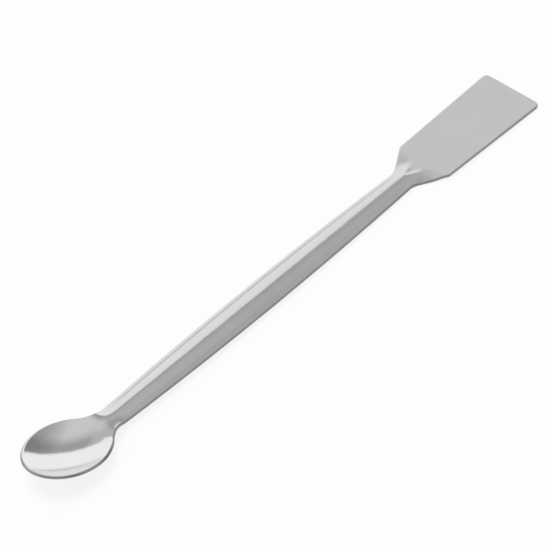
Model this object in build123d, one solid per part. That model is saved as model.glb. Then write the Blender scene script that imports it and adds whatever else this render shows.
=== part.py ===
from build123d import *
import math
import os

# A stamped lab spatula: a spoon bowl, a ridged handle and a flat blade, pressed from one strip of sheet.
# It is drawn level, with x along it from the tip of the bowl and z = 0 at the top of the blade,
# and then laid down on the bowl's underside and the blade's end. All lengths are in millimetres.

# Whole piece
overall_length = 200.0
sheet_thickness = 0.9
edge_radius = 0.3

# Bowl: an oval dish with a rim that rises towards the tip and is cut square to the wall
bowl_length = 27.1
bowl_width = 19.7
bowl_depth = 3.3
tip_rim_rise = 4.0
neck_rim_rise = -0.1
oval_end_angle = 54.0
rim_lean_angle = 42.0

# Neck: where the bowl runs out over a saddle into the handle
neck_reach = 5.0
neck_width = 7.45
saddle_inset = 1.0
saddle_radius = 5.0
saddle_blend = 2.5
roof_reach = 7.3

# Handle: a low roof with a rounded ridge, widest at the belly and hollow-sided towards the neck,
# that levels off towards its edges
belly_reach = 62.0
belly_width = 9.7
ridge_rise = 0.7
ridge_rounding = 0.9
edge_drop = 1.1
neck_hollow_share = 0.6
edge_levelling_share = 0.4

# Blade: flat, flared a little towards its end
blade_length = 38.4
flare_length = 9.1
root_width = 7.0
shoulder_width = 17.4
end_width = 19.2
root_radius = 5.0
shoulder_radius = 2.2
corner_radius = 1.6

# Run-out of the ridge into the blade, later at the sides than on the ridge
run_out_length = 4.0
fan_depth = 4.5
fan_width = 1.4

# Blank of formed sheet that the outline is cut from, a margin wider than it all round
blank_margin = 2.0
flat_reach = 6.0
root_lead = 6.5
formed_step = 1.0
handle_step = 3.0
column_count = 24
ridge_column_share = 0.4
slope_probe = 0.01
press_depth = 8.0
pick_margin = 0.05

# Places along the piece, measured from the tip of the bowl
saddle_position = bowl_length - saddle_inset
neck_position = bowl_length + neck_reach
roof_position = bowl_length + roof_reach
belly_position = neck_position + belly_reach
shoulder_position = overall_length - blade_length
root_position = shoulder_position - flare_length
flat_position = shoulder_position + flat_reach


def ease(share):
    """A smooth step from 0 to 1."""
    held = min(max(share, 0.0), 1.0)
    return held**3 * (held * (6.0 * held - 15.0) + 10.0)


def handle_half_width(x):
    """Half the handle's width: a shallow curve from the neck over the belly to the root."""
    far_end = root_position if x > belly_position else neck_position
    far_width = root_width if x > belly_position else neck_width
    share = (x - belly_position) / (far_end - belly_position)
    return (belly_width - (belly_width - far_width) * share**2) / 2


def lower_of(first, second, blend):
    """The lower of two values, with the crease between them rounded off."""
    near_share = max(blend - abs(first - second), 0.0) / blend
    return min(first, second) - blend * near_share**3 / 6


def rounded_reach(y):
    """Distance from the middle line, rounded off over the ridge."""
    return math.hypot(y, ridge_rounding) - ridge_rounding


def roof_drop(x, y):
    """How far the roof of the handle lies below its ridge."""
    held_x = min(max(x, neck_position), root_position)
    out_share = rounded_reach(y) / rounded_reach(handle_half_width(held_x))
    out_share = lower_of(out_share, 1.0, edge_levelling_share)
    hollow_share = neck_hollow_share * (root_position - held_x) / (root_position - neck_position)
    return edge_drop * out_share * (1.0 + hollow_share * (1.0 - out_share))


def strip_height(x, y):
    """Top of the strip: level at the saddle, a roof along the handle, flat on the blade."""
    roof_share = ease((x - saddle_position) / (roof_position - saddle_position))
    formed = ridge_rise - roof_share * roof_drop(x, y)
    fan = fan_depth * y**2 / (y**2 + fan_width**2)
    blade_share = ease((x - root_position - fan) / run_out_length)
    lift = max(saddle_position - x, 0.0) ** 2 / (2 * saddle_radius)
    return formed * (1.0 - blade_share) + lift


def rim_height(x):
    """Height of the bowl's rim, in a plane that falls from the tip to the neck."""
    return tip_rim_rise + (neck_rim_rise - tip_rim_rise) * x / bowl_length


def dish_height(x, y):
    """Inside of the bowl, in the tilted plane of its rim on the oval."""
    along_share = (x - bowl_length / 2) / (bowl_length / 2)
    across_share = y / (bowl_width / 2)
    return rim_height(x) + bowl_depth * (along_share**2 + across_share**2 - 1.0)


def top_height(x, y):
    """Top of the formed sheet: the lower of dish and strip, blended where they meet at the saddle."""
    return lower_of(dish_height(x, y), strip_height(x, y), saddle_blend)


def under_height(x, y):
    """Underside of the formed sheet, one thickness below the top when measured square to it."""
    slope_x = (top_height(x + slope_probe, y) - top_height(x - slope_probe, y)) / (2 * slope_probe)
    slope_y = (top_height(x, y + slope_probe) - top_height(x, y - slope_probe)) / (2 * slope_probe)
    return top_height(x, y) - sheet_thickness * math.hypot(1.0, slope_x, slope_y)


def spaced(start, stop, step):
    """Even stations from start up to, but without, stop."""
    count = round((stop - start) / step)
    return [start + (stop - start) * index / count for index in range(count)]


def blank_half_width(x):
    """Half the width of the blank, a margin wider than the outline everywhere."""
    bowl_share = ease((neck_position - x) / (neck_position - bowl_length / 2))
    blade_share = ease((x - root_position + root_lead) / (flare_length + root_lead))
    extra = bowl_share * (bowl_width - belly_width) + blade_share * (end_width - belly_width)
    return (belly_width + extra) / 2 + blank_margin


def stations():
    """Places along the blank up to the flat of the blade, closer together where it is formed most."""
    handle_start = roof_position + blank_margin
    handle_end = root_position - root_lead
    places = spaced(-blank_margin, handle_start, formed_step)
    places += spaced(handle_start, handle_end, handle_step)
    places += spaced(handle_end, flat_position, formed_step)
    return places + [flat_position]


def formed_face(height_of):
    """One side of the formed sheet, lofted through curves with points closest together on the ridge."""
    even_shares = [2 * index / column_count - 1.0 for index in range(column_count + 1)]
    curves = []
    for x in stations():
        points = []
        for share in even_shares:
            y = blank_half_width(x) * (ridge_column_share * share + (1.0 - ridge_column_share) * share**3)
            points.append(Vector(x, y, height_of(x, y)))
        curves.append(Wire([Edge.make_spline(points, parameters=even_shares)]))
    return Shell.make_loft(curves).face()


def formed_sheet():
    """The formed sheet between its two lofted sides, closed round its border."""
    top = formed_face(top_height)
    under = formed_face(under_height)
    sides = [Face.make_surface_from_curves(*pair) for pair in zip(top.edges(), under.edges())]
    return Solid(Shell([top, under] + sides))


def blank():
    """The formed sheet before it is cut out, with the flat plate of the blade."""
    plate_length = overall_length + blank_margin - flat_position
    plate_width = 2 * blank_half_width(flat_position)
    corner = (Align.MIN, Align.CENTER, Align.MAX)
    plate = Box(plate_length, plate_width, sheet_thickness, align=corner)
    return formed_sheet() + Pos(flat_position, 0, 0) * plate


def half_outline(height):
    """Plan of one half of the piece at one height, from the tip round to the blade's end."""
    lean = math.tan(math.radians(rim_lean_angle))
    inset = lean * (height - rim_height(bowl_length / 2))
    middle = bowl_length / 2 - lean * (tip_rim_rise - neck_rim_rise) / 2
    radii = (bowl_length / 2 - inset, bowl_width / 2 - inset)
    oval = EllipticalCenterArc((middle, 0), *radii, oval_end_angle, arc_size=180.0 - oval_end_angle)
    neck = (neck_position, neck_width / 2)
    belly = (belly_position, belly_width / 2)
    root = (root_position, root_width / 2)
    shoulder = (shoulder_position, shoulder_width / 2)
    corner = (overall_length, end_width / 2)
    edge = ThreePointArc(neck, belly, root)
    run_in = Spline(oval @ 0, neck, tangents=(-(oval % 0), edge % 0))
    blade = Polyline(root, shoulder, corner, (overall_length, 0), oval @ 1)
    return make_face([oval, run_in, edge, blade])


def rounded(plan, position, radius):
    """The plan with its outer corner at one place along it rounded."""
    corners = plan.vertices().filter_by_position(Axis.X, position - pick_margin, position + pick_margin)
    return fillet(corners.sort_by(Axis.Y)[-1], radius)


def half_column():
    """One half of the outline as a column, upright along the handle and leaning in round the bowl."""
    plans = []
    for height in (-press_depth, press_depth):
        plan = rounded(half_outline(height), root_position, root_radius)
        plan = rounded(plan, shoulder_position, shoulder_radius)
        plan = rounded(plan, overall_length, corner_radius)
        plans.append(Pos(0, 0, height) * plan)
    return loft(plans, ruled=True)


def outline_column():
    """The whole outline as a column."""
    half = half_column()
    return half + mirror(half, Plane.XZ)


def softened(piece):
    """The piece with the edges of its top rounded, as the punch leaves them. The underside's stay sharp."""
    formed, blade = piece.faces().sort_by(SortBy.AREA)[-4:].sort_by(Axis.Z)[-2:]
    borders = formed.edges() + blade.edges()
    seams = borders.filter_by_position(Axis.X, flat_position - pick_margin, flat_position + pick_margin)
    return fillet(borders - seams, edge_radius)


def laid_down(piece):
    """The level piece turned to rest on the bowl and the blade's end, and centred over the floor."""
    lowest = bowl_length / 2 * (1.0 + (tip_rim_rise - neck_rim_rise) / (4 * bowl_depth))
    angle = math.atan2(-under_height(lowest, 0.0) - sheet_thickness, overall_length - lowest)
    turned = Rot(0, math.degrees(angle), 0) * piece
    floor = overall_length * math.sin(angle) + sheet_thickness * math.cos(angle)
    return Pos(-overall_length * math.cos(angle) / 2, 0, floor) * turned


spatula = laid_down(softened(outline_column() & blank()))
os.makedirs("parts", exist_ok=True)
export_step(spatula, "parts/spatula.step")
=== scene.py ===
import math

import bpy
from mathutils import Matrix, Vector

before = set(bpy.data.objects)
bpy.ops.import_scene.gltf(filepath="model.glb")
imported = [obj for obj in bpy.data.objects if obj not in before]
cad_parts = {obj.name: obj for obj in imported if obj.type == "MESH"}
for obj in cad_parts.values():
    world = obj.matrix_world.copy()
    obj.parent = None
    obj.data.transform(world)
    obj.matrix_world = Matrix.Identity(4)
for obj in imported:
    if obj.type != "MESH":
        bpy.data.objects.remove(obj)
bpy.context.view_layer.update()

# Camera: its angles, its distance and reach in metres, and the pixel on which the aim point falls
CAMERA_AZIMUTH = math.radians(-49.9)
CAMERA_ELEVATION = math.radians(44.1)
CAMERA_DISTANCE = 2.0
CAMERA_REACH = 100.0
PIXELS_PER_METRE = 3729.7
IMAGE_SIZE = 550
SENSOR_WIDTH = 36.0
AIM_PIXEL = (279.2, 279.2)
AIM_POINT = Vector((0.0, 0.0, 0.0018))

# Directions in the studio, seen from the camera
RIGHT = Vector((math.cos(CAMERA_AZIMUTH), math.sin(CAMERA_AZIMUTH), 0.0))
AWAY = Vector((-math.sin(CAMERA_AZIMUTH), math.cos(CAMERA_AZIMUTH), 0.0))
UP = Vector((0.0, 0.0, 1.0))

# Floor: half its side in metres, its colour, and how far it is plain white to the camera and in the steel
FLOOR_REACH = 3.0
FLOOR_COLOUR = (0.92, 0.92, 0.92, 1.0)
FLOOR_WHITE_SHARE = 0.8

# Key light: soft, from the left, behind and above
KEY_STRENGTH = 1.5
KEY_ANGLE = math.radians(40.0)
KEY_DIRECTION = (-0.35, 0.35, 0.87)

# Room: a round white backdrop behind the object, and a ceiling that is dim next to the backdrop and towards
# the right, lighter on the left, and a little dimmer in front. A panel on the right lights that side.
# Each step goes by how far a direction reaches behind, to the right or towards the panel.
WHITE = (1.0, 1.0, 1.0, 1.0)
BACKDROP_DIRECTION = (-0.05, 1.0, 0.0)
BACKDROP_STEP = {"start": 0.725, "stop": 0.765}
CEILING_STEP = {"start": 0.62, "stop": 0.28, "low": 0.38, "high": 0.68}
RIGHT_DIMMING = {"start": 0.35, "stop": 0.75, "low": 1.0, "high": 0.5, "shape": "LINEAR"}
LEFT_LIFT = {"start": -0.15, "stop": -0.35, "low": 0.0, "high": 0.15}
PANEL_DIRECTION = (1.0, -0.1, 0.22)
PANEL_STEP = {"start": 0.92, "stop": 0.98, "low": 0.0, "high": 0.45}
FRONT_LEVEL = {"start": 0.0, "stop": 0.6, "low": 0.75, "high": 0.95}
FRONT_START = -0.3
FRONT_STOP = 0.2

# Steel: its colours, how bright and how rough each part is, the dark edge colour that is painted shade, and
# the painted shade in the crease
STEEL_COLOUR = (0.83, 0.83, 0.845, 1.0)
# Painted shade: the sheared edges get this dark colour for the shadowed floor they mirror; their rougher cut
# is in EDGE_ROUGHNESS
EDGE_PAINTED_SHADE_COLOUR = (0.29, 0.29, 0.295, 1.0)
HANDLE_BRIGHTNESS = 0.877
BLADE_BRIGHTNESS = 0.985
# Painted shade: how bright the steel's colour stays along the crease line
CREASE_PAINTED_SHADE = 0.72
BOWL_ROUGHNESS = 0.12
HANDLE_ROUGHNESS = 0.26
BLADE_ROUGHNESS = 0.46
EDGE_ROUGHNESS = 0.34

# Sheared edges, which get painted shade and more roughness: the step goes by how far the surface faces up or
# down
EDGE_STEP = {"start": 0.78, "stop": 0.62}

# Where handle and blade start, in millimetres from the frame's origin, and the fan that the blade starts in
MILLIMETRES_PER_METRE = 1000.0
HANDLE_START = {"start": -73.0, "stop": -66.0}
BLADE_START = {"start": 50.5, "stop": 56.0}
FAN_DEPTH = 4.5
FAN_WIDTH = 1.4

# Crease along the handle, drawn as a bumped groove with painted shade, a set way in from its curved edges and
# fainter on the near side, in millimetres.
# The bends say how fast the handle narrows on either side of its belly. The depth is in metres.
BELLY_PLACE = -5.9
BELLY_HALF_WIDTH = 4.85
NECK_BEND = 0.00029
ROOT_BEND = 0.00040
BEND_STEP = {"start": -1.0, "stop": 1.0, "low": NECK_BEND, "high": ROOT_BEND}
STRIP_WIDTH = 1.35
CREASE_PROFILE = {"start": 0.0, "stop": 0.35, "low": 1.0, "high": 0.0}
CREASE_START = {"start": -68.0, "stop": -60.0}
CREASE_STOP = {"start": 52.0, "stop": 46.0}
CREASE_SIDES = {"start": -1.0, "stop": 1.0, "low": 0.15, "high": 1.0}
CREASE_DEPTH = 0.00005

# Brushing and scratches along the length, a satin grain on the blade, and smudges
BRUSHING = {"scale": 1.0, "stretch": (0.03, 2.6, 2.6), "detail": 4.0}
SCRATCHES = {"scale": 1.0, "stretch": (0.02, 3.4, 3.4), "detail": 2.0}
GRAIN = {"scale": 5.0, "stretch": (0.5, 1.0, 1.0), "detail": 3.0}
SMUDGES = {"scale": 0.11, "stretch": (1.0, 1.0, 1.0), "detail": 3.0}
SCRATCH_STEP = {"start": 0.64, "stop": 0.74}
SMUDGE_BRIGHTNESS = {"start": 0.3, "stop": 0.7, "low": 0.97, "high": 1.01, "shape": "LINEAR"}
NOISE_MIDDLE = 0.5
BRUSHING_ROUGHNESS = 0.06
SMUDGE_ROUGHNESS = 0.08
SCRATCH_ROUGHNESS = 0.05

# Relief of brushing and scratches against that of the grain, and the height of one unit in metres
BRUSHING_HEIGHT = 0.6
SCRATCH_HEIGHT = -0.4
RELIEF_UNIT = 0.0000012


def studio(right, away, up):
    """Unit direction from its parts to the right, away from the camera and up."""
    return (RIGHT * right + AWAY * away + UP * up).normalized()


def add_object(name, data):
    """A new object in the scene."""
    item = bpy.data.objects.new(name, data)
    bpy.context.scene.collection.objects.link(item)
    return item


def make_camera():
    """Camera at the photo's angle, framed so that the aim point falls on its pixel."""
    data = bpy.data.cameras.new("camera")
    data.sensor_width = SENSOR_WIDTH
    data.lens = SENSOR_WIDTH * PIXELS_PER_METRE * CAMERA_DISTANCE / IMAGE_SIZE
    data.shift_x = (IMAGE_SIZE / 2 - AIM_PIXEL[0]) / IMAGE_SIZE
    data.shift_y = (AIM_PIXEL[1] - IMAGE_SIZE / 2) / IMAGE_SIZE
    data.clip_end = CAMERA_REACH
    camera = add_object("camera", data)
    back = UP * math.sin(CAMERA_ELEVATION) - AWAY * math.cos(CAMERA_ELEVATION)
    camera.location = AIM_POINT + back * CAMERA_DISTANCE
    camera.rotation_mode = "QUATERNION"
    camera.rotation_quaternion = (-back).to_track_quat("-Z", "Y")
    bpy.context.scene.camera = camera


def feed(tree, socket, value):
    """Links a socket to another node's output, or sets it to a plain value."""
    if isinstance(value, bpy.types.NodeSocket):
        tree.links.new(value, socket)
    else:
        socket.default_value = value


def calculate(tree, operation, first, second=0.0, third=0.0):
    """Result of one sum on sockets or plain numbers."""
    node = tree.nodes.new("ShaderNodeMath")
    node.operation = operation
    for socket, value in zip(node.inputs, (first, second, third)):
        feed(tree, socket, value)
    return node.outputs[0]


def along(tree, vector, direction):
    """How far a vector reaches along a direction."""
    node = tree.nodes.new("ShaderNodeVectorMath")
    node.operation = "DOT_PRODUCT"
    feed(tree, node.inputs[0], vector)
    feed(tree, node.inputs[1], direction)
    return node.outputs["Value"]


def part_of(tree, vector, axis):
    """One of the three parts of a vector."""
    node = tree.nodes.new("ShaderNodeSeparateXYZ")
    feed(tree, node.inputs[0], vector)
    return node.outputs[axis]


def ramp(tree, value, start, stop, low=0.0, high=1.0, shape="SMOOTHSTEP"):
    """A step from low to high as the value goes from start to stop."""
    node = tree.nodes.new("ShaderNodeMapRange")
    node.interpolation_type = shape
    feed(tree, node.inputs["Value"], value)
    feed(tree, node.inputs["From Min"], start)
    feed(tree, node.inputs["From Max"], stop)
    feed(tree, node.inputs["To Min"], low)
    feed(tree, node.inputs["To Max"], high)
    return node.outputs["Result"]


def blend(tree, share, low, high):
    """A value that goes evenly from low to high as the share goes from 0 to 1."""
    return ramp(tree, share, 0.0, 1.0, low, high, "LINEAR")


def noise(tree, coordinates, scale, stretch, detail):
    """Noise from 0 to 1, stretched along the object's axes."""
    mapping = tree.nodes.new("ShaderNodeMapping")
    feed(tree, mapping.inputs["Scale"], stretch)
    feed(tree, mapping.inputs["Vector"], coordinates)
    node = tree.nodes.new("ShaderNodeTexNoise")
    feed(tree, node.inputs["Scale"], scale)
    feed(tree, node.inputs["Detail"], detail)
    feed(tree, node.inputs["Vector"], mapping.outputs["Vector"])
    return node.outputs["Fac"]


def floor_material():
    """Pale material that is mostly plain white to the camera and in the steel, and keeps a soft shadow."""
    material = bpy.data.materials.new("floor")
    material.use_nodes = True
    tree = material.node_tree
    tree.nodes.clear()
    lit = tree.nodes.new("ShaderNodeBsdfDiffuse")
    feed(tree, lit.inputs["Color"], FLOOR_COLOUR)
    white = tree.nodes.new("ShaderNodeEmission")
    feed(tree, white.inputs["Strength"], 1.0)
    path = tree.nodes.new("ShaderNodeLightPath")
    seen = calculate(tree, "MAXIMUM", path.outputs["Is Camera Ray"], path.outputs["Is Glossy Ray"])
    mix = tree.nodes.new("ShaderNodeMixShader")
    feed(tree, mix.inputs["Fac"], calculate(tree, "MULTIPLY", seen, FLOOR_WHITE_SHARE))
    feed(tree, mix.inputs[1], lit.outputs[0])
    feed(tree, mix.inputs[2], white.outputs[0])
    output = tree.nodes.new("ShaderNodeOutputMaterial")
    feed(tree, output.inputs["Surface"], mix.outputs[0])
    return material


def make_floor():
    """Large flat floor under the object."""
    reach = FLOOR_REACH
    corners = [(-reach, -reach, 0.0), (reach, -reach, 0.0), (reach, reach, 0.0), (-reach, reach, 0.0)]
    mesh = bpy.data.meshes.new("floor")
    mesh.from_pydata(corners, [], [(0, 1, 2, 3)])
    mesh.materials.append(floor_material())
    floor = add_object("floor", mesh)


def make_key():
    """Soft key light for the floor and its shadow, which the steel doesn't mirror."""
    data = bpy.data.lights.new("key", "SUN")
    data.energy = KEY_STRENGTH
    data.angle = KEY_ANGLE
    key = add_object("key", data)
    key.rotation_mode = "QUATERNION"
    key.rotation_quaternion = studio(*KEY_DIRECTION).to_track_quat("Z", "Y")
    key.visible_glossy = False


def room_level(tree, direction, behind):
    """Brightness of the room without its backdrop."""
    side = along(tree, direction, RIGHT)
    ceiling = ramp(tree, behind, **CEILING_STEP)
    ceiling = calculate(tree, "MULTIPLY", ceiling, ramp(tree, side, **RIGHT_DIMMING))
    room = calculate(tree, "ADD", ceiling, ramp(tree, side, **LEFT_LIFT))
    panel = ramp(tree, along(tree, direction, studio(*PANEL_DIRECTION)), **PANEL_STEP)
    room = calculate(tree, "ADD", room, panel)
    front = ramp(tree, side, **FRONT_LEVEL)
    return calculate(tree, "MULTIPLY", room, ramp(tree, behind, FRONT_START, FRONT_STOP, front, 1.0))


def make_world():
    """The studio round the object, bright behind it."""
    world = bpy.data.worlds.new("world")
    bpy.context.scene.world = world
    world.use_nodes = True
    tree = world.node_tree
    direction = tree.nodes.new("ShaderNodeTexCoord").outputs["Generated"]
    behind = along(tree, direction, studio(*BACKDROP_DIRECTION))
    backdrop = ramp(tree, behind, **BACKDROP_STEP)
    level = calculate(tree, "MAXIMUM", room_level(tree, direction, behind), backdrop)
    background = tree.nodes["Background"]
    feed(tree, background.inputs["Color"], WHITE)
    feed(tree, background.inputs["Strength"], level)


def place_in_millimetres(tree):
    """Place on the piece in millimetres, in the shared frame."""
    node = tree.nodes.new("ShaderNodeVectorMath")
    node.operation = "SCALE"
    feed(tree, node.inputs["Scale"], MILLIMETRES_PER_METRE)
    feed(tree, node.inputs[0], tree.nodes.new("ShaderNodeTexCoord").outputs["Object"])
    return node.outputs["Vector"]


def blade_share(tree, x, y):
    """1 on the blade, which starts later at the sides than in the middle, as the ridge's run-out does."""
    square = calculate(tree, "MULTIPLY", y, y)
    fan = calculate(tree, "DIVIDE", square, calculate(tree, "ADD", square, FAN_WIDTH**2))
    return ramp(tree, calculate(tree, "MULTIPLY_ADD", fan, -FAN_DEPTH, x), **BLADE_START)


def edge_share(tree):
    """1 on the sheared edges, which stand steeper than the faces."""
    geometry = tree.nodes.new("ShaderNodeNewGeometry")
    upward = part_of(tree, geometry.outputs["Normal"], "Z")
    return ramp(tree, calculate(tree, "ABSOLUTE", upward), **EDGE_STEP)


def crease_share(tree, x, y):
    """1 in the shallow crease along the handle's far side, much less along its near side, 0 elsewhere."""
    from_belly = calculate(tree, "SUBTRACT", x, BELLY_PLACE)
    bend = ramp(tree, from_belly, **BEND_STEP)
    narrowing = calculate(tree, "MULTIPLY", bend, calculate(tree, "POWER", from_belly, 2.0))
    half_width = calculate(tree, "SUBTRACT", BELLY_HALF_WIDTH, narrowing)
    middle = calculate(tree, "SUBTRACT", half_width, STRIP_WIDTH)
    off = calculate(tree, "SUBTRACT", calculate(tree, "ABSOLUTE", y), middle)
    line = ramp(tree, calculate(tree, "ABSOLUTE", off), **CREASE_PROFILE)
    line = calculate(tree, "MULTIPLY", line, ramp(tree, y, **CREASE_SIDES))
    ends = calculate(tree, "MULTIPLY", ramp(tree, x, **CREASE_START), ramp(tree, x, **CREASE_STOP))
    return calculate(tree, "MULTIPLY", line, ends)


def steel_colour(tree, shares, smudges):
    """Colour of the steel, a little duller where it is brushed and where it is smudged, darkened by painted
    shade along the crease, and dark on the edges as painted shade.
    """
    brightness = blend(tree, shares["handle"], 1.0, HANDLE_BRIGHTNESS)
    brightness = blend(tree, shares["blade"], brightness, BLADE_BRIGHTNESS)
    brightness = calculate(tree, "MULTIPLY", brightness, ramp(tree, smudges, **SMUDGE_BRIGHTNESS))
    # Painted shade: the colour is darkened along the crease, on top of its bumped groove
    painted_crease_shade = blend(tree, shares["crease"], 1.0, CREASE_PAINTED_SHADE)
    brightness = calculate(tree, "MULTIPLY", brightness, painted_crease_shade)
    # Painted shade: the sheared edges take the dark edge colour, for the shadowed floor they mirror
    colour = tree.nodes.new("ShaderNodeMix")
    colour.data_type = "RGBA"
    feed(tree, colour.inputs["A"], STEEL_COLOUR)
    feed(tree, colour.inputs["B"], EDGE_PAINTED_SHADE_COLOUR)
    feed(tree, colour.inputs["Factor"], shares["edge"])
    tone = tree.nodes.new("ShaderNodeMix")
    tone.data_type = "RGBA"
    tone.blend_type = "MULTIPLY"
    feed(tree, tone.inputs["Factor"], 1.0)
    feed(tree, tone.inputs["A"], colour.outputs["Result"])
    feed(tree, tone.inputs["B"], brightness)
    return tone.outputs["Result"]


def steel_roughness(tree, shares, brushing, smudges, scratches):
    """Roughness of the steel, uneven where it is brushed, smudged or scratched."""
    roughness = blend(tree, shares["handle"], BOWL_ROUGHNESS, HANDLE_ROUGHNESS)
    roughness = blend(tree, shares["blade"], roughness, BLADE_ROUGHNESS)
    for texture, strength in ((brushing, BRUSHING_ROUGHNESS), (smudges, SMUDGE_ROUGHNESS)):
        uneven = calculate(tree, "SUBTRACT", texture, NOISE_MIDDLE)
        roughness = calculate(tree, "MULTIPLY_ADD", uneven, strength, roughness)
    roughness = calculate(tree, "MULTIPLY_ADD", scratches, SCRATCH_ROUGHNESS, roughness)
    return blend(tree, shares["edge"], roughness, EDGE_ROUGHNESS)


def bump(tree, height, distance):
    """A bump node, in which one unit of height stands the distance high."""
    node = tree.nodes.new("ShaderNodeBump")
    feed(tree, node.inputs["Distance"], distance)
    feed(tree, node.inputs["Height"], height)
    return node


def steel_normal(tree, shares, brushing, scratches, grain):
    """Fine relief of brushing, scratches and grain, and the crease on top of it."""
    height = calculate(tree, "MULTIPLY", grain, shares["blade"])
    height = calculate(tree, "MULTIPLY_ADD", scratches, SCRATCH_HEIGHT, height)
    height = calculate(tree, "MULTIPLY_ADD", brushing, BRUSHING_HEIGHT, height)
    fine = bump(tree, height, RELIEF_UNIT)
    groove = bump(tree, calculate(tree, "MULTIPLY", shares["crease"], -1.0), CREASE_DEPTH)
    feed(tree, groove.inputs["Normal"], fine.outputs["Normal"])
    return groove.outputs["Normal"]


def make_steel():
    """Steel, polished in the bowl, finely brushed along the handle and satin on the blade."""
    material = bpy.data.materials.new("steel")
    material.use_nodes = True
    tree = material.node_tree
    place = place_in_millimetres(tree)
    x = part_of(tree, place, "X")
    y = part_of(tree, place, "Y")
    shares = {
        "handle": ramp(tree, x, **HANDLE_START),
        "blade": blade_share(tree, x, y),
        "edge": edge_share(tree),
        "crease": crease_share(tree, x, y),
    }
    brushing = noise(tree, place, **BRUSHING)
    grain = noise(tree, place, **GRAIN)
    smudges = noise(tree, place, **SMUDGES)
    scratches = ramp(tree, noise(tree, place, **SCRATCHES), **SCRATCH_STEP)
    shader = tree.nodes["Principled BSDF"]
    feed(tree, shader.inputs["Metallic"], 1.0)
    feed(tree, shader.inputs["Base Color"], steel_colour(tree, shares, smudges))
    feed(tree, shader.inputs["Roughness"], steel_roughness(tree, shares, brushing, smudges, scratches))
    feed(tree, shader.inputs["Normal"], steel_normal(tree, shares, brushing, scratches, grain))
    return material


make_camera()
make_floor()
make_key()
make_world()
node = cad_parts["spatula"]
node.data.materials.clear()
node.data.materials.append(make_steel())

bpy.context.scene.view_settings.view_transform = "Standard"
